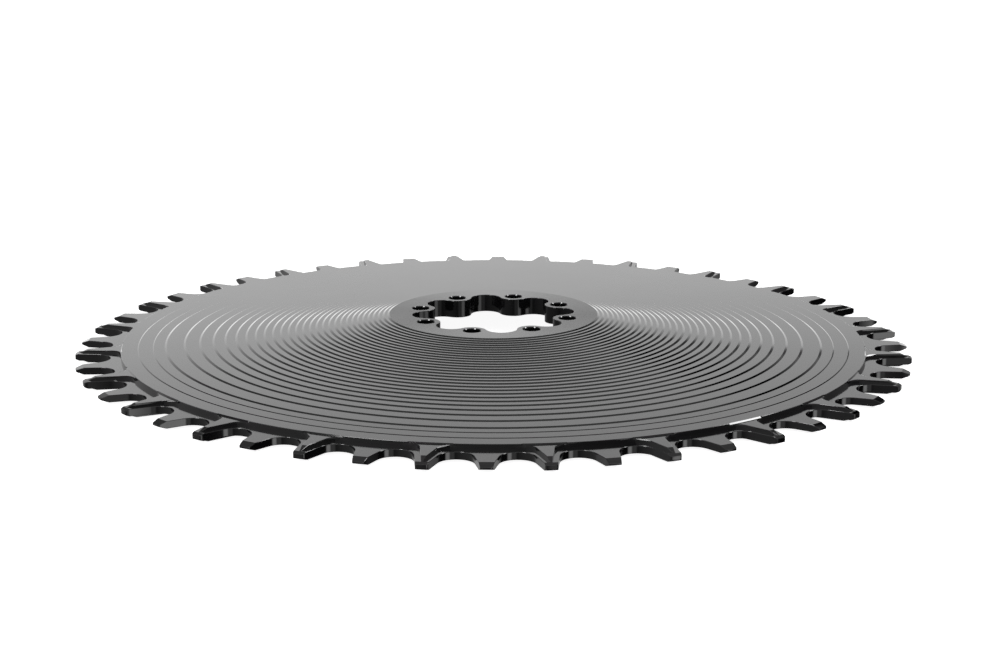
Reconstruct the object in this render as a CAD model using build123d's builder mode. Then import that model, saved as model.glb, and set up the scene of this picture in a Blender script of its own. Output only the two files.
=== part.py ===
"""One-piece bicycle chainring for a single-ring drivetrain, machined from aluminium plate.

The disc has no spokes: it rises from the rim to the hub in concentric flat terraces.
Narrow and wide teeth take turns round the edge, so that they fill the narrow and the
wide links of the chain. The hub is bolted face to face on a crank arm.
Units are millimetres. The axis is Z, and the ring lies flat on its underside at Z = 0.
"""
import os
from math import cos, radians, sin, sqrt, tan

from build123d import *

# Chain and teeth
chain_pitch = 12.7
tooth_count = 48
roller_seat_radius = 4.0
flank_angle = 15.5
tooth_reach = 4.51
tip_corner = 0.4
wide_thickness = 3.1
wide_tip_thickness = 1.1
wide_bevel_length = 3.0
narrow_thickness = 1.7
narrow_tip_thickness = 0.44
narrow_bevel_length = 1.8
pad_shoulder = 1.25
pocket_ledge = 2.44
pocket_corner_radius = 3.4

# Rim and terraced disc
rim_step = 0.3
rim_land_width = 4.0
rim_back_width = 6.6
full_terraces = 29
half_terraces = 2
riser_angle = 24.0
dome_foot_reach = 5.85
web_thickness = 2.6
web_tapers = 4
back_step_angle = 45.0

# Hub
opening_diameter = 40.0
hub_ring_width = 5.53
hub_rise = 6.12
hub_thickness = 4.3
hub_back_margin = 2.0
bolt_count = 8
bolt_circle = 37.4
bolt_hole_diameter = 4.0
bolt_boss_radius = 3.5

# Heights over the underside that the sizes above lead to
mid_height = wide_thickness / 2
narrow_face = mid_height + narrow_thickness / 2
rim_top = wide_thickness + rim_step
hub_top = rim_top + hub_rise
hub_back = hub_top - hub_thickness
terrace_rise = hub_rise / (full_terraces + half_terraces / 2)

# Radii and angles that they lead to
pitch_radius = chain_pitch / 2 / sin(radians(180 / tooth_count))
tip_radius = pitch_radius + tooth_reach
rim_radius = pitch_radius - roller_seat_radius - pocket_ledge
rim_land_radius = rim_radius - rim_land_width
opening_radius = opening_diameter / 2
bolt_radius = bolt_circle / 2
hub_radius = opening_radius + hub_ring_width
tooth_angle = 360 / tooth_count
pair_count = tooth_count // 2
riser_slope = tan(radians(riser_angle))
flank_slope = tan(radians(flank_angle))
cut_margin = 2.0

# The dome is one large arc that runs level at its foot. It passes through the foot of
# the first riser, at the hub, and through the foot of the last one, at the rim.
dome_foot = rim_radius + dome_foot_reach
first_reach = dome_foot - hub_radius - terrace_rise / riser_slope
last_reach = dome_foot - rim_land_radius
first_height = hub_rise - terrace_rise
dome_centre = (first_reach**2 - last_reach**2 + first_height**2) / (2 * first_height)
dome_radius = sqrt(last_reach**2 + dome_centre**2)


def dome_reach(height):
    """Radius at which the dome is a height above the rim's top face."""
    return dome_foot - sqrt(dome_radius**2 - (dome_centre - height) ** 2)


def dome_height(radius):
    """Height of the dome over the underside plane at a radius."""
    return rim_top + dome_centre - sqrt(dome_radius**2 - (dome_foot - radius) ** 2)


# Terraces from the hub out: each riser leaves the flat above it, and its foot is on the dome.
terrace_edge = []
level = hub_rise
for terrace in range(full_terraces + half_terraces):
    drop = terrace_rise if terrace < full_terraces else terrace_rise / 2
    foot_radius = dome_reach(level - drop)
    terrace_edge.append((foot_radius - drop / riser_slope, rim_top + level))
    level = level - drop
    terrace_edge.append((foot_radius, rim_top + level))

# Rim, with a low step down to the flats of the wide teeth, and their bevelled tips
wide_bevel_radius = tip_radius - wide_bevel_length
rim_edge = [
    (rim_radius, rim_top),
    (rim_radius, wide_thickness),
    (wide_bevel_radius, wide_thickness),
    (tip_radius, mid_height + wide_tip_thickness / 2),
    (tip_radius, mid_height - wide_tip_thickness / 2),
    (wide_bevel_radius, 0),
]

# Hollow back: a rim land to lie on, a thin web of straight tapers under the dome, and a thicker hub
web_outer_radius = rim_radius - rim_back_width
web_inner_radius = hub_radius + hub_back_margin
web_edge = []
for taper in range(web_tapers + 1):
    web_radius = web_outer_radius + (web_inner_radius - web_outer_radius) * taper / web_tapers
    web_edge.append((web_radius, dome_height(web_radius) - web_thickness))
back_step_slope = tan(radians(back_step_angle))
rim_back_radius = web_outer_radius + web_edge[0][1] / back_step_slope
hub_back_radius = web_inner_radius - (web_edge[-1][1] - hub_back) / back_step_slope

# Gap for one chain roller, seen from the pitch circle: a round seat, straight flanks that
# lean out, and a mouth that takes the corners off the tips of the teeth
with BuildSketch() as roller_gap:
    seat_x = -roller_seat_radius * sin(radians(flank_angle))
    seat_y = roller_seat_radius * cos(radians(flank_angle))
    corner_x = tooth_reach - tip_corner
    corner_y = seat_y + (corner_x - seat_x) * flank_slope
    mouth_x = tooth_reach + cut_margin
    mouth_y = corner_y + (mouth_x - corner_x) * tan(radians((flank_angle + 90) / 2))
    with BuildLine():
        ThreePointArc((seat_x, seat_y), (-roller_seat_radius, 0), (seat_x, -seat_y))
        Polyline((seat_x, -seat_y), (corner_x, -corner_y), (mouth_x, -mouth_y))
        Polyline((mouth_x, -mouth_y), (mouth_x, mouth_y), (corner_x, corner_y), (seat_x, seat_y))
    make_face()

# Pocket that thins one narrow tooth, with the bevel of its tip, above and below the tooth.
# Its sides run beside the flanks of the wide teeth and leave a pad on each of them.
with BuildPart() as pocket:
    side_angle = radians(tooth_angle / 2 + flank_angle)
    side_offset = roller_seat_radius + pad_shoulder
    side_x = pitch_radius * cos(radians(tooth_angle / 2)) - side_offset * sin(side_angle)
    side_y = pitch_radius * sin(radians(tooth_angle / 2)) + side_offset * cos(side_angle)
    inner_x = rim_radius * cos(radians(tooth_angle)) - cut_margin
    inner_y = side_y + (inner_x - side_x) * tan(side_angle)
    outer_x = tip_radius + cut_margin
    outer_y = side_y + (outer_x - side_x) * tan(side_angle)
    with BuildSketch(Plane.XY.offset(narrow_face)) as pocket_outline:
        with BuildLine():
            Polyline(
                (inner_x, -inner_y),
                (outer_x, -outer_y),
                (outer_x, outer_y),
                (inner_x, inner_y),
                close=True,
            )
        make_face()
        Circle(rim_radius, mode=Mode.SUBTRACT)
        fillet(pocket_outline.vertices().sort_by(Axis.X)[:2], pocket_corner_radius)
    extrude(amount=rim_top - narrow_face + cut_margin)

    bevel_slope = (narrow_thickness - narrow_tip_thickness) / 2 / narrow_bevel_length
    bevel_end = narrow_face - (narrow_bevel_length + cut_margin) * bevel_slope
    with BuildSketch(Plane.XZ.rotated((0, 0, -tooth_angle / 2))):
        with BuildLine():
            Polyline(
                (tip_radius - narrow_bevel_length, narrow_face),
                (outer_x, bevel_end),
                (outer_x, narrow_face),
                close=True,
            )
        make_face()
    revolve(axis=Axis.Z, revolution_arc=tooth_angle)
    mirror(about=Plane.XY.offset(mid_height))

# Lobed opening: round bosses about the bolt holes, and scallops tangent to them in between
with BuildSketch() as opening:
    lobe_angle = 180 / bolt_count
    scallop_reach = opening_radius - bolt_radius * cos(radians(lobe_angle))
    scallop_side = bolt_radius * sin(radians(lobe_angle))
    scallop_radius = (scallop_reach**2 + scallop_side**2 - bolt_boss_radius**2) / (
        2 * (scallop_reach + bolt_boss_radius)
    )
    scallop_centre = Vector(opening_radius - scallop_radius, 0).rotate(Axis.Z, lobe_angle)
    boss_centre = Vector(bolt_radius, 0)
    boss_share = bolt_boss_radius / (bolt_boss_radius + scallop_radius)
    boss_end = boss_centre + (scallop_centre - boss_centre) * boss_share
    boss_start = Vector(boss_end.X, -boss_end.Y)
    boss_tip = Vector(bolt_radius - bolt_boss_radius, 0)
    scallop_tip = Vector(opening_radius, 0).rotate(Axis.Z, lobe_angle)
    scallop_end = boss_start.rotate(Axis.Z, 2 * lobe_angle)
    with BuildLine():
        for lobe in range(bolt_count):
            turn = 2 * lobe_angle * lobe
            ThreePointArc(*[point.rotate(Axis.Z, turn) for point in (boss_start, boss_tip, boss_end)])
            ThreePointArc(*[point.rotate(Axis.Z, turn) for point in (boss_end, scallop_tip, scallop_end)])
    make_face()

with BuildPart() as chainring:
    # Turned blank, out to the tips of the teeth
    with BuildSketch(Plane.XZ):
        with BuildLine():
            Polyline((0, hub_back), (0, hub_top), *terrace_edge, *rim_edge)
            Polyline(rim_edge[-1], (rim_back_radius, 0), *web_edge)
            Polyline(web_edge[-1], (hub_back_radius, hub_back), (0, hub_back))
        make_face()
    revolve(axis=Axis.Z)

    # Teeth: gaps for the rollers all round, then every other tooth thinned
    with BuildSketch():
        with PolarLocations(pitch_radius, tooth_count, start_angle=tooth_angle / 2):
            add(roller_gap.sketch)
    extrude(amount=rim_top, mode=Mode.SUBTRACT)
    with PolarLocations(0, pair_count):
        add(pocket.part, mode=Mode.SUBTRACT)

    # Hub: lobed opening and bolt holes, in line with narrow teeth
    with BuildSketch(Plane.XY.offset(hub_back)):
        add(opening.sketch)
    extrude(amount=hub_thickness, mode=Mode.SUBTRACT)
    with Locations(Plane.XY.offset(hub_top)):
        with PolarLocations(bolt_radius, bolt_count):
            Hole(bolt_hole_diameter / 2, depth=hub_thickness)

chainring.part.label = "chainring"

os.makedirs("parts", exist_ok=True)
export_step(chainring.part, "parts/chainring.step")
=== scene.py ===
import math

import bmesh
import bpy
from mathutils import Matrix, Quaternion, Vector


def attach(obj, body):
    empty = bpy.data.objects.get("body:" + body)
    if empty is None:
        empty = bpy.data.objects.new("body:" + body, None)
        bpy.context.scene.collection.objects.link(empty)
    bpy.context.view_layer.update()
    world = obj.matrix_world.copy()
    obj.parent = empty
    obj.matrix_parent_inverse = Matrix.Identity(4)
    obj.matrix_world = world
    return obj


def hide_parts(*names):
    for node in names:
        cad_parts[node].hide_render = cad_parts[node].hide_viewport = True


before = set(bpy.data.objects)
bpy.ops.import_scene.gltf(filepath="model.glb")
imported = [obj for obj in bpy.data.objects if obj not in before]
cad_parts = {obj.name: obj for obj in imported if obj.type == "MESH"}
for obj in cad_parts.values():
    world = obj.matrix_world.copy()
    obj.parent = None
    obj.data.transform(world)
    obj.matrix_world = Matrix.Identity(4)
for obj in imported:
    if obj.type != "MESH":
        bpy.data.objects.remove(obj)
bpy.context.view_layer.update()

# Toothed edge. The teeth are milled in the rim of the plate, each gap a round seat for one chain
# roller between straight flanks. Every other tooth is thinned by a pocket above and one below,
# so that narrow and wide teeth take turns. Sizes are millimetres from the middle of the plate.
chain_pitch = 12.7
tooth_count = 48
pitch_radius = chain_pitch / 2 / math.sin(math.radians(180 / tooth_count))
half_pair = 360 / tooth_count
gap_turn = half_pair / 2
seat_radius = 4.0
seat_steps = 16
flank_lean = 15.5
tooth_reach = 4.51
tip_radius = pitch_radius + tooth_reach
tip_corner = 0.4
tip_corner_steps = 5
wide_half, wide_tip_half, wide_bevel = 1.55, 0.55, 3.0
wide_bevel_start = tip_radius - wide_bevel
wide_bevel_fall = (wide_half - wide_tip_half) / wide_bevel
narrow_half, narrow_tip_half, narrow_bevel = 0.85, 0.22, 1.8
narrow_bevel_start = tip_radius - narrow_bevel
narrow_bevel_fall = (narrow_half - narrow_tip_half) / narrow_bevel
pocket_ledge = 2.44
pocket_radius = pitch_radius - seat_radius - pocket_ledge
pocket_wall_steps = 5
pocket_corner = 3.4
pocket_corner_steps = 6
pocket_corner_ease = (0.16, 0.25, 0.25, 0.16)
pad_shoulder = 1.25
rim_step = 0.3
rim_step_slope = 0.28
rim_step_points = (0.07, 0.33, 0.67)
rim_top = wide_half + rim_step
teeth_start = 88.0
round_steps = 384
touching = 0.001


def polar(radius, degrees, height=0.0):
    """A point at a radius and an angle about the ring's axis."""
    turn = math.radians(degrees)
    return Vector((radius * math.cos(turn), radius * math.sin(turn), height))


def reach_of(place):
    """How far a place is from the ring's axis."""
    return math.hypot(place.x, place.y)


def turn_of(place):
    """The angle of a place about the ring's axis, in degrees."""
    return math.degrees(math.atan2(place.y, place.x))


def along(start, heading, radius):
    """The point at a radius on the line that leaves a start in a heading."""
    reach = start.dot(heading)
    return start + heading * (math.sqrt(reach**2 - start.length_squared + radius**2) - reach)


def wide_height(radius):
    """Height of the bevelled tip of a wide tooth at a radius."""
    return wide_half - (radius - wide_bevel_start) * wide_bevel_fall


def corners_of(parts):
    """The corners among the parts that an operator gives back."""
    return [part for part in parts if isinstance(part, bmesh.types.BMVert)]


def whole(mesh):
    """Every corner, edge and face of a mesh."""
    return mesh.verts[:] + mesh.edges[:] + mesh.faces[:]


def line_to(mesh, corner, place):
    """Draws a straight edge from a corner to a place and returns the new corner."""
    drawn = bmesh.ops.extrude_vert_indiv(mesh, verts=[corner])["verts"][0]
    drawn.co = place
    return drawn


def arc_to(mesh, corner, centre, degrees, steps):
    """Draws an arc from a corner about a centre and returns the corner at its far end."""
    swept = bmesh.ops.spin(mesh, geom=[corner], cent=centre, axis=(0, 0, 1),
                           angle=math.radians(degrees), steps=steps)
    return corners_of(swept["geom_last"])[0]


def corner_at(mesh, place):
    """The corner of a mesh that is nearest to a place."""
    return min(mesh.verts, key=lambda corner: (corner.co - place).length_squared)


def level_face(first, last):
    """The most level of the faces that two corners share."""
    shared = [face for face in first.link_faces if last in face.verts]
    return max(shared, key=lambda face: abs(face.normal.z))


def cut_face(mesh, start, end, between=()):
    """Cuts the level face that two places share, along the points between them."""
    first, last = corner_at(mesh, start), corner_at(mesh, end)
    line = [tuple(point) for point in between]
    bmesh.utils.face_split(level_face(first, last), first, last, coords=line)
    mesh.normal_update()


def raise_face(mesh, start, end, height):
    """Raises the level face that two places share and returns its corners."""
    level = level_face(corner_at(mesh, start), corner_at(mesh, end))
    corners = corners_of(bmesh.ops.extrude_face_region(mesh, geom=[level])["geom"])
    bmesh.ops.delete(mesh, geom=[level], context="FACES_ONLY")
    bmesh.ops.translate(mesh, verts=corners, vec=(0, 0, height))
    mesh.normal_update()
    return corners


def thicken(mesh, height):
    """Gives the flat plan in a mesh a height."""
    upper = corners_of(bmesh.ops.extrude_face_region(mesh, geom=list(mesh.faces))["geom"])
    bmesh.ops.translate(mesh, verts=upper, vec=(0, 0, height))


def repeat_round(mesh, spread, joined):
    """Opens a wedge at its sides and at the radius where it is joined, and repeats it all round."""
    beside = polar(1, spread + 90)
    hidden = [
        face for face in mesh.faces
        if all(abs(c.co.y) < touching for c in face.verts)
        or all(abs(c.co.dot(beside)) < touching for c in face.verts)
        or all(abs(reach_of(c.co) - joined) < touching for c in face.verts)
    ]
    bmesh.ops.delete(mesh, geom=hidden, context="FACES")
    bmesh.ops.mirror(mesh, geom=whole(mesh), axis="Y", merge_dist=touching)
    bmesh.ops.spin(mesh, geom=whole(mesh), cent=(0, 0, 0), axis=(0, 0, 1), use_duplicate=True,
                   angle=math.radians(360 - 2 * spread), steps=round(180 / spread) - 1)
    bmesh.ops.remove_doubles(mesh, verts=mesh.verts, dist=touching)


# Half a narrow tooth, the gap beside it and half a wide tooth are drawn as one flat wedge.
roller = polar(pitch_radius, gap_turn)
flank_in = polar(1, gap_turn - flank_lean)
flank_out = polar(1, gap_turn + flank_lean)
seat_start = roller + polar(1, gap_turn - flank_lean - 90) * seat_radius
pad_side = polar(1, gap_turn + flank_lean + 90)
seat_end = roller + pad_side * seat_radius
narrow_tip = along(seat_start, flank_in, tip_radius)
narrow_foot = along(seat_start, flank_in, narrow_bevel_start)
wide_level = wide_bevel_start + (wide_half - narrow_half) / wide_bevel_fall
wide_tip = along(seat_end, flank_out, tip_radius)
wide_foot = along(seat_end, flank_out, wide_level)
teeth = bmesh.new()
outline = teeth.verts.new(polar(teeth_start, 0))
for place in (
    polar(pocket_radius, 0),
    polar(narrow_bevel_start, 0),
    polar(tip_radius, 0),
    narrow_tip,
    narrow_foot,
    seat_start,
):
    outline = line_to(teeth, outline, place)
outline = arc_to(teeth, outline, roller, 2 * flank_lean - 180, seat_steps)
for place in (
    wide_foot,
    wide_tip,
    polar(tip_radius, half_pair),
    polar(wide_level, half_pair),
    polar(wide_bevel_start, half_pair),
    polar(pocket_radius, half_pair),
    polar(teeth_start, half_pair),
):
    outline = line_to(teeth, outline, place)
arc_to(teeth, outline, (0, 0, 0), -half_pair, round_steps // tooth_count)
bmesh.ops.remove_doubles(teeth, verts=teeth.verts, dist=touching)
bmesh.ops.contextual_create(teeth, geom=teeth.edges)
tips = [corner_at(teeth, narrow_tip), corner_at(teeth, wide_tip)]
bmesh.ops.bevel(teeth, geom=tips, offset=tip_corner, offset_type="OFFSET", profile=0.5,
                segments=tip_corner_steps, affect="VERTICES", material=-1)
teeth.normal_update()

# The wedge gets the thickness of a narrow tooth. The pocket's outline is cut in its face, the tips
# are bevelled, and the pad of the wide tooth is raised.
pocket_level = Vector((0, 0, narrow_half))
pad_level = Vector((0, 0, wide_half))
fillet_side = roller + pad_side * (seat_radius + pad_shoulder - pocket_corner)
fillet_centre = along(fillet_side, flank_out, pocket_radius + pocket_corner)
fillet_turn = turn_of(fillet_centre)
fillet_sweep = 90 + fillet_turn - gap_turn - flank_lean
fillet = [
    fillet_centre - polar(pocket_corner, fillet_turn - fillet_sweep * step / pocket_corner_steps)
    for step in range(pocket_corner_steps + 1)
]
wall = [
    polar(pocket_radius, fillet_turn * step / pocket_wall_steps)
    for step in range(1, pocket_wall_steps)
]
pad_end = along(fillet[-1], flank_out, wide_bevel_start)
pad_foot = along(fillet[-1], flank_out, wide_level)
thicken(teeth, narrow_half)
plan = [face for face in teeth.faces if all(abs(c.co.z) < touching for c in face.verts)]
bmesh.ops.delete(teeth, geom=plan, context="FACES_ONLY")
teeth.normal_update()
cut_face(teeth, polar(narrow_bevel_start, 0, narrow_half), narrow_foot + pocket_level)
cut_face(teeth, wide_foot + pocket_level, polar(wide_level, half_pair, narrow_half),
         [pad_foot + pocket_level])
cut_face(teeth, polar(pocket_radius, 0, narrow_half), pad_foot + pocket_level,
         [point + pocket_level for point in wall + fillet + [pad_end]])
for corner in teeth.verts:
    radius, turn = reach_of(corner.co), turn_of(corner.co)
    if corner.co.z > touching and turn < gap_turn and radius > narrow_bevel_start:
        corner.co.z = narrow_half - (radius - narrow_bevel_start) * narrow_bevel_fall
    if corner.co.z > touching and turn > gap_turn and radius > wide_level:
        corner.co.z = wide_height(radius)
pad = raise_face(teeth, polar(wide_bevel_start, half_pair, narrow_half),
                 polar(teeth_start, half_pair, narrow_half), wide_half - narrow_half)
for corner in pad:
    radius = reach_of(corner.co)
    if radius > wide_bevel_start + touching:
        corner.co.z = wide_height(radius)
bmesh.ops.remove_doubles(teeth, verts=teeth.verts, dist=touching)
teeth.normal_update()
cut_face(teeth, pad_end + pad_level, polar(wide_bevel_start, half_pair, wide_half))
bmesh.ops.mirror(teeth, geom=whole(teeth), axis="Z", merge_dist=touching)
teeth.normal_update()

# On the upper side only, the rim is a low step higher than the pads, with a sloped face over the
# wide teeth, and the corners of the pockets are eased.
step_line = [
    polar(pocket_radius, fillet_turn + (half_pair - fillet_turn) * share, wide_half)
    for share in rim_step_points
]
step_end = polar(pocket_radius, half_pair, wide_half)
cut_face(teeth, fillet[0] + pad_level, step_end, step_line)
rim = raise_face(teeth, step_end, polar(teeth_start, half_pair, wide_half), rim_step)
for corner in rim:
    radius, turn = reach_of(corner.co), turn_of(corner.co)
    if turn > fillet_turn + touching and radius > pocket_radius - touching:
        corner.co = polar(pocket_radius - rim_step_slope, turn, rim_top)
eased = list(zip(fillet[2:-1], pocket_corner_ease))
ease_line = [
    fillet_centre + (point - fillet_centre) * (1 + ease / pocket_corner) + pad_level
    for point, ease in eased
]
cut_face(teeth, fillet[1] + pad_level, fillet[-1] + pad_level, ease_line)
for point, ease in eased:
    corner_at(teeth, point + pad_level).co.z = wide_half - ease
repeat_round(teeth, half_pair, teeth_start)

# Terraced disc. The plate is turned on a lathe into flat treads with low sloping risers, whose
# feet follow one long arc from the hub to the rim. The back is hollowed to leave a thin web.
hub_radius = 25.53
hub_rise = 6.12
hub_thickness = 4.3
hub_top = rim_top + hub_rise
hub_back = hub_top - hub_thickness
hub_back_margin = 2.0
full_treads, half_treads = 29, 2
tread_drop = hub_rise / (full_treads + half_treads / 2)
riser_angle = 20.5
riser_slope = math.tan(math.radians(riser_angle))
rim_land = pocket_radius - 4.0
rim_back = pocket_radius - 6.6
web = 2.6
web_tapers = 4

arc_foot = pocket_radius + 5.85
first_reach = arc_foot - hub_radius - tread_drop / riser_slope
last_reach = arc_foot - rim_land
first_height = hub_rise - tread_drop
arc_centre = (first_reach**2 - last_reach**2 + first_height**2) / (2 * first_height)
arc_radius = math.hypot(last_reach, arc_centre)

front = [teeth.verts.new((hub_radius, 0, hub_top))]
level = hub_rise
for tread in range(full_treads + half_treads):
    drop = tread_drop if tread < full_treads else tread_drop / 2
    foot = arc_foot - math.sqrt(arc_radius**2 - (arc_centre - level + drop) ** 2)
    front.append(line_to(teeth, front[-1], (foot - drop / riser_slope, 0, rim_top + level)))
    level -= drop
    front.append(line_to(teeth, front[-1], (foot, 0, rim_top + level)))
front.append(line_to(teeth, front[-1], (teeth_start, 0, rim_top)))

back = [teeth.verts.new((teeth_start, 0, -wide_half))]
web_inner = hub_radius + hub_back_margin
for taper in range(web_tapers + 1):
    place = rim_back + (web_inner - rim_back) * taper / web_tapers
    rise = rim_top + arc_centre - math.sqrt(arc_radius**2 - (arc_foot - place) ** 2) - web
    if taper == 0:
        back.append(line_to(teeth, back[-1], (place + rise + wide_half, 0, -wide_half)))
    back.append(line_to(teeth, back[-1], (place, 0, rise)))
back.append(line_to(teeth, back[-1], (web_inner - rise + hub_back, 0, hub_back)))
back.append(line_to(teeth, back[-1], (hub_radius, 0, hub_back)))
for turned in (front, back):
    edges = [edge for edge in teeth.edges if edge.verts[0] in turned and edge.verts[1] in turned]
    bmesh.ops.spin(teeth, geom=turned + edges, cent=(0, 0, 0), axis=(0, 0, 1), angle=math.tau,
                   steps=round_steps, use_merge=True)

# Hub. A flat ring is left at the top for the crank to sit on. Its opening is milled to a row of
# round bosses, each drilled for one bolt, with hollows that run smoothly into them in between.
bolt_count = 8
bolt_radius = 18.7
hole_radius = 2.12
hole_steps = 16
hole_chamfer = 0.2
boss_radius = 3.5
boss_steps = 8
opening_radius = 20.0
hollow_steps = 12

lobe = 180 / bolt_count
bolt = polar(bolt_radius, 0)
hollow_reach = opening_radius - bolt_radius * math.cos(math.radians(lobe))
hollow_side = bolt_radius * math.sin(math.radians(lobe))
hollow_radius = (hollow_reach**2 + hollow_side**2 - boss_radius**2) / (
    2 * (hollow_reach + boss_radius))
hollow_centre = polar(opening_radius - hollow_radius, lobe)
lean = math.degrees((hollow_centre - bolt).angle(Vector((-1, 0, 0))))

hub = bmesh.new()
outline = hub.verts.new((hub_radius, 0, hub_back))
outline = arc_to(hub, outline, (0, 0, 0), lobe, round_steps // bolt_count // 2)
outline = line_to(hub, outline, polar(opening_radius, lobe, hub_back))
outline = arc_to(hub, outline, hollow_centre, -lobe - lean, hollow_steps)
outline = arc_to(hub, outline, bolt, lean, boss_steps)
outline = line_to(hub, outline, (bolt_radius - hole_radius, 0, hub_back))
outline = arc_to(hub, outline, bolt, -180, hole_steps)
line_to(hub, outline, (hub_radius, 0, hub_back))
bmesh.ops.remove_doubles(hub, verts=hub.verts, dist=touching)
bmesh.ops.contextual_create(hub, geom=hub.edges)
thicken(hub, hub_thickness)
repeat_round(hub, lobe, hub_radius)
bmesh.ops.recalc_face_normals(hub, faces=hub.faces)
holes = [polar(bolt_radius, 2 * lobe * turn, hub_top) for turn in range(bolt_count)]
hole_edges = [
    edge for edge in hub.edges
    if any(all(abs((c.co - hole).length - hole_radius) < touching for c in edge.verts)
           for hole in holes)
]
bmesh.ops.bevel(hub, geom=hole_edges, offset=hole_chamfer, offset_type="OFFSET", profile=0.5,
                segments=1, affect="EDGES", material=-1)
hub_mesh = bpy.data.meshes.new("hub")
hub.to_mesh(hub_mesh)
teeth.from_mesh(hub_mesh)
bpy.data.meshes.remove(hub_mesh)
bmesh.ops.remove_doubles(teeth, verts=teeth.verts, dist=touching)
bmesh.ops.recalc_face_normals(teeth, faces=teeth.faces)

# Edges. After milling, the whole plate is tumbled, which takes the sharpness off its outer edges
# and leaves a narrow round on them. The rim's sloped step and the eased corners of the pockets are
# blunt already and stay as they were milled.
edge_break = 0.08
edge_steps = 3
worn_angle = math.radians(50)
worn_steepness = 0.5
smooth_angle = math.radians(14)
millimetre = 0.001


def sloped(corner):
    """Whether a corner is on the rim's sloped step or on the eased corner of a pocket."""
    step_radius = pocket_radius - rim_step_slope
    on_step = (abs(corner.co.z - rim_top) < touching
               and abs(reach_of(corner.co) - step_radius) < touching)
    return on_step or any(
        abs(corner.co.z - wide_half + ease) < touching for ease in pocket_corner_ease)


def put(name, data):
    """Puts a mesh or a camera in the scene, as an object at the origin."""
    item = bpy.data.objects.new(name, data)
    bpy.context.scene.collection.objects.link(item)
    return item


worn = [
    edge for edge in teeth.edges
    if edge.is_convex and edge.calc_face_angle() > worn_angle
    and abs(edge.verts[0].co.z - edge.verts[1].co.z) < worn_steepness * edge.calc_length()
    and not any(sloped(corner) for corner in edge.verts)
]
bmesh.ops.bevel(teeth, geom=worn, offset=edge_break, offset_type="OFFSET", profile=0.5,
                segments=edge_steps, affect="EDGES", material=-1)
bmesh.ops.translate(teeth, verts=teeth.verts, vec=(0, 0, wide_half))
bmesh.ops.scale(teeth, verts=teeth.verts, vec=(millimetre, millimetre, millimetre))
ring_mesh = bpy.data.meshes.new("chainring_body")
teeth.to_mesh(ring_mesh)
ring_mesh.polygons.foreach_set("use_smooth", [True] * len(ring_mesh.polygons))
ring_mesh.set_sharp_from_angle(angle=smooth_angle)
ring = put("chainring_body", ring_mesh)

# Black anodised finish. The bare aluminium is etched, dyed black and sealed, which leaves a thin
# hard satin skin. Under it the fine rings of the lathe tool still show, with small patches more or
# less dull. The crank's seat was ground before that, and its scratches run out from the opening.
skin_ior = 1.6
skin_dull = (0.09, 0.11)
dye_tones = ((0.0034, 0.0034, 0.0037, 1), (0.0052, 0.0051, 0.0054, 1))
dye_spread = (0.35, 0.7)
dull_spread = (0.3, 0.7)
patch_noise = (90, 4)
lathe_noise = (6000, 3)
lathe_share = 0.6
grain_noise = (9000, 2)
relief_strength = 0.25
relief_depth = 0.000002
seat_dull = (0.175, 0.195)
seat_scratches = 0.9
seat_level = (hub_top + wide_half - touching) * millimetre


def set_range(node, start, end, low, high):
    """Makes a range node go from low to high between a start and an end."""
    for name, number in zip(("From Min", "From Max", "To Min", "To Max"), (start, end, low, high)):
        node.inputs[name].default_value = number


def noise_node(tree, scale, detail):
    """Adds a noise pattern of a given scale and detail."""
    node = tree.nodes.new("ShaderNodeTexNoise")
    node.inputs["Scale"].default_value = scale
    node.inputs["Detail"].default_value = detail
    return node


def anodised(name, dullness):
    """Makes a black anodised finish with a range of dullness."""
    finish = bpy.data.materials.new(name)
    finish.use_nodes = True
    nodes, links = finish.node_tree.nodes, finish.node_tree.links
    skin = nodes["Principled BSDF"]
    skin.inputs["IOR"].default_value = skin_ior
    place = nodes.new("ShaderNodeTexCoord")
    patches = noise_node(finish.node_tree, *patch_noise)
    links.new(place.outputs["Object"], patches.inputs["Vector"])
    dull = nodes.new("ShaderNodeMapRange")
    set_range(dull, *dull_spread, *dullness)
    links.new(patches.outputs["Fac"], dull.inputs["Value"])
    links.new(dull.outputs["Result"], skin.inputs["Roughness"])
    dye = nodes.new("ShaderNodeValToRGB")
    for stop, spot, tone in zip(dye.color_ramp.elements, dye_spread, dye_tones):
        stop.position = spot
        stop.color = tone
    links.new(patches.outputs["Fac"], dye.inputs["Fac"])
    links.new(dye.outputs["Color"], skin.inputs["Base Color"])
    flat = nodes.new("ShaderNodeVectorMath")
    flat.operation = "MULTIPLY"
    flat.inputs[1].default_value = (1, 1, 0)
    links.new(place.outputs["Object"], flat.inputs[0])
    reach = nodes.new("ShaderNodeVectorMath")
    reach.operation = "LENGTH"
    links.new(flat.outputs["Vector"], reach.inputs[0])
    lathe_rings = noise_node(finish.node_tree, *lathe_noise)
    lathe_rings.noise_dimensions = "1D"
    links.new(reach.outputs["Value"], lathe_rings.inputs["W"])
    grain = noise_node(finish.node_tree, *grain_noise)
    links.new(place.outputs["Object"], grain.inputs["Vector"])
    texture = nodes.new("ShaderNodeMath")
    texture.operation = "MULTIPLY_ADD"
    texture.inputs[1].default_value = lathe_share
    links.new(lathe_rings.outputs["Fac"], texture.inputs[0])
    links.new(grain.outputs["Fac"], texture.inputs[2])
    relief = nodes.new("ShaderNodeBump")
    relief.inputs["Strength"].default_value = relief_strength
    relief.inputs["Distance"].default_value = relief_depth
    links.new(texture.outputs["Value"], relief.inputs["Height"])
    links.new(relief.outputs["Normal"], skin.inputs["Normal"])
    return finish


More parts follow.
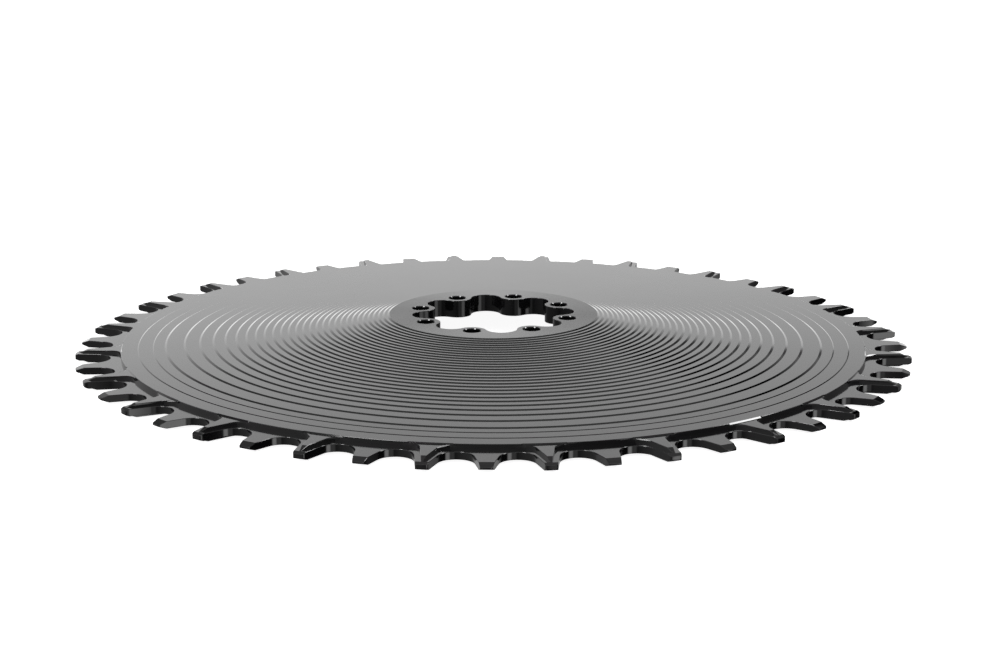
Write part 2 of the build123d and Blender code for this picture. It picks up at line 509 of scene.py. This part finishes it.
ring_mesh.materials.append(anodised("black_anodised", skin_dull))
seat = anodised("ground_seat", seat_dull)
seat_skin = seat.node_tree.nodes["Principled BSDF"]
seat_skin.inputs["Anisotropic"].default_value = seat_scratches
around = seat.node_tree.nodes.new("ShaderNodeTangent")
around.direction_type = "RADIAL"
around.axis = "Z"
seat.node_tree.links.new(around.outputs["Tangent"], seat_skin.inputs["Tangent"])
ring_mesh.materials.append(seat)
for face in ring_mesh.polygons:
    if all(ring_mesh.vertices[corner].co.z > seat_level for corner in face.vertices):
        face.material_index = 1
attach(ring, "root")
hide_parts("chainring")

# Floor. A wide sheet of plain white paper that the ring lies on. It glows a little for the camera
# alone, so that it stays white round the soft shadow of the ring. The metal doesn't mirror the
# paper itself, only the room through it, dimmed by painted shade in a fixed round patch under the
# ring.
floor_half = 3
paper_white = (0.8, 0.8, 0.8, 1)
paper_glow = 0.93
# Reach in metres and levels of the painted shade that dims what the metal mirrors under the ring
painted_shade_edge = (0.06, 0.085)
painted_shade_level = (0.45, 1.0)


def by_ray(tree, kind, usual, chosen):
    """Mixes two shaders, so that one kind of ray meets the chosen one and the rest the usual."""
    ray = tree.nodes.new("ShaderNodeLightPath")
    choice = tree.nodes.new("ShaderNodeMixShader")
    tree.links.new(ray.outputs[kind], choice.inputs[0])
    tree.links.new(usual.outputs[0], choice.inputs[1])
    tree.links.new(chosen.outputs[0], choice.inputs[2])
    return choice


sheet = bmesh.new()
bmesh.ops.create_grid(sheet, x_segments=1, y_segments=1, size=floor_half)
floor_mesh = bpy.data.meshes.new("floor")
sheet.to_mesh(floor_mesh)
floor = put("floor", floor_mesh)
paper = bpy.data.materials.new("white_paper")
paper.use_nodes = True
nodes, links = paper.node_tree.nodes, paper.node_tree.links
matt = nodes["Principled BSDF"]
matt.inputs["Base Color"].default_value = paper_white
matt.inputs["Roughness"].default_value = 1.0
matt.inputs["Specular IOR Level"].default_value = 0.0
glow = nodes.new("ShaderNodeEmission")
glow.inputs["Strength"].default_value = paper_glow
bright = nodes.new("ShaderNodeAddShader")
links.new(matt.outputs[0], bright.inputs[0])
links.new(glow.outputs[0], bright.inputs[1])
place = nodes.new("ShaderNodeTexCoord")
reach = nodes.new("ShaderNodeVectorMath")
reach.operation = "LENGTH"
links.new(place.outputs["Object"], reach.inputs[0])
# Painted shade: a fixed round patch under the ring's middle dims what the metal mirrors through the
# paper.
shade = nodes.new("ShaderNodeMapRange")
set_range(shade, *painted_shade_edge, *painted_shade_level)
links.new(reach.outputs["Value"], shade.inputs["Value"])
mirrored = nodes.new("ShaderNodeBsdfTransparent")
links.new(shade.outputs["Result"], mirrored.inputs["Color"])
seen = by_ray(paper.node_tree, "Is Camera Ray", matt, bright)
seen = by_ray(paper.node_tree, "Is Glossy Ray", seen, mirrored)
links.new(seen.outputs[0], nodes["Material Output"].inputs["Surface"])
floor_mesh.materials.append(paper)
floor.visible_diffuse = False
floor.visible_shadow = False

# Studio light. Pale walls stand all round, brightest at their foot, with a darker panel at the
# right. Two wide lamps stand low at the front right, two small ones hang high at the sides, and a
# dark flag stands behind. The metal mirrors all this, while the camera sees plain white.
camera_turn = 15.77
# Elevation in degrees and level of the walls
wall_light = (
    (-90, 1.9), (1, 1.9), (5.5, 1.3), (9, 1.24), (13, 1.24), (14.3, 1.03),
    (15.3, 0.9), (16, 0.86), (17.2, 0.78), (18.5, 0.75), (20, 0.7), (24, 0.34),
    (27, 0.19), (38, 0.16), (45, 0.26), (60, 0.37), (90, 0.4),
)
wall_tilt = 0.1
# Start, end, and the level before and after, along the right, away or up
wall_foot = (-0.19, -0.13, 0, 1)
wall_foot_rise = (0.75, 0.98, 0.12, 0)
ground_left = (-0.9, 0.8, 0.27, 0)
ground_away = (0.3, 0.9, 0, 0.4)
panel_lean = 0.25
panel_side = (0.345, 0.365, 0, 0.45)
panel_frame = ((0.350, 0.372, 0, 0.45), (0.380, 0.405, 1, 0))
panel_foot = (0.10, 0.16, 0, 1)
panel_head = (0.36, 0.44, 1, 0)
# Azimuth from the right, elevation, inner and outer spread in degrees, and level
lamps = (
    (-39, -15, 1, 17, 2.3),
    (-64, -15, 8, 22, 0.45),
    (14.5, 43.5, 5, 10, 15),
    (-157.6, 65, 5, 8, 15),
    (62.5, 31, 4, 10, -0.2),
)

world = bpy.data.worlds.new("studio")
bpy.context.scene.world = world
world.use_nodes = True
nodes, links = world.node_tree.nodes, world.node_tree.links


def math_node(operation, first, second):
    """Adds a sum on two values, each a number or the output of a node."""
    node = nodes.new("ShaderNodeMath")
    node.operation = operation
    for socket, value in zip(node.inputs, (first, second)):
        if isinstance(value, (int, float)):
            socket.default_value = value
        else:
            links.new(value, socket)
    return node.outputs["Value"]


def ramp_node(value, start, end, low, high):
    """Adds a smooth change of a value from low to high between a start and an end."""
    node = nodes.new("ShaderNodeMapRange")
    node.interpolation_type = "SMOOTHSTEP"
    links.new(value, node.inputs["Value"])
    set_range(node, start, end, low, high)
    return node.outputs["Result"]


heading = nodes.new("ShaderNodeTexCoord")
turned = nodes.new("ShaderNodeMapping")
turned.inputs["Rotation"].default_value = (0, 0, math.radians(-camera_turn))
links.new(heading.outputs["Generated"], turned.inputs["Vector"])
axes = nodes.new("ShaderNodeSeparateXYZ")
links.new(turned.outputs["Vector"], axes.inputs[0])
right, away, up = axes.outputs

walls = nodes.new("ShaderNodeValToRGB")
walls.color_ramp.elements.remove(walls.color_ramp.elements[1])
for index, (elevation, level) in enumerate(wall_light):
    spot = (math.sin(math.radians(elevation)) + 1) / 2
    stop = walls.color_ramp.elements[0] if index == 0 else walls.color_ramp.elements.new(spot)
    stop.position = spot
    stop.color = (level, level, level, 1)
wall_height = math_node("ADD", up, math_node("MULTIPLY", right, wall_tilt))
links.new(math_node("ADD", math_node("MULTIPLY", wall_height, 0.5), 0.5), walls.inputs["Fac"])

panel_place = math_node("ADD", right, math_node("MULTIPLY", up, panel_lean))
frame_start, frame_end = [ramp_node(panel_place, *edge) for edge in panel_frame]
panel = math_node("ADD", ramp_node(panel_place, *panel_side),
                  math_node("MULTIPLY", frame_start, frame_end))
panel = math_node("MULTIPLY", panel, ramp_node(up, *panel_foot))
panel = math_node("MULTIPLY", panel, ramp_node(up, *panel_head))
wall_level = math_node("MULTIPLY", walls.outputs["Color"], math_node("SUBTRACT", 1, panel))

ground = math_node("ADD", ramp_node(right, *ground_left), ramp_node(away, *ground_away))
foot_height = math_node("SUBTRACT", up, ramp_node(away, *wall_foot_rise))
room = nodes.new("ShaderNodeMix")
links.new(ramp_node(foot_height, *wall_foot), room.inputs["Factor"])
links.new(ground, room.inputs["A"])
links.new(wall_level, room.inputs["B"])

lamp_light = 0
for azimuth, elevation, inner, outer, level in lamps:
    lift = math.radians(elevation)
    facing = nodes.new("ShaderNodeVectorMath")
    facing.operation = "DOT_PRODUCT"
    facing.inputs[1].default_value = polar(math.cos(lift), azimuth, math.sin(lift))
    links.new(turned.outputs["Vector"], facing.inputs[0])
    lamp = ramp_node(facing.outputs["Value"], math.cos(math.radians(outer)),
                     math.cos(math.radians(inner)), 0, level)
    lamp_light = math_node("ADD", lamp_light, lamp)
surround = nodes["Background"]
links.new(math_node("ADD", room.outputs["Result"], lamp_light), surround.inputs["Color"])
white = nodes.new("ShaderNodeBackground")
white.inputs["Color"].default_value = (1, 1, 1, 1)
seen = by_ray(world.node_tree, "Is Camera Ray", surround, white)
links.new(seen.outputs[0], nodes["World Output"].inputs["Surface"])

# Camera. It stands low in front of the ring, a little over half a metre away. Its long lens shows
# the far teeth nearly as large as the near ones, and the picture is framed a little off centre.
camera_lift = 14.31
camera_distance = 0.54247
camera_lens = 79.16
camera_sensor = 36
camera_shift = (0.0066, 0.01084)
camera_roll = 0.0015
camera_near = 0.01
plate_middle = Vector((0, 0, wide_half * millimetre))
turn, lift = math.radians(camera_turn), math.radians(camera_lift)
stand = Vector((math.sin(turn) * math.cos(lift), -math.cos(turn) * math.cos(lift), math.sin(lift)))
camera = bpy.data.cameras.new("camera")
camera.lens = camera_lens
camera.sensor_width = camera_sensor
camera.shift_x, camera.shift_y = camera_shift
camera.clip_start = camera_near
view = put("camera", camera)
view.location = plate_middle + stand * camera_distance
view.rotation_mode = "QUATERNION"
view.rotation_quaternion = (-stand).to_track_quat("-Z", "Y") @ Quaternion((0, 0, 1), camera_roll)
bpy.context.scene.camera = view

bpy.context.scene.view_settings.view_transform = "Standard"
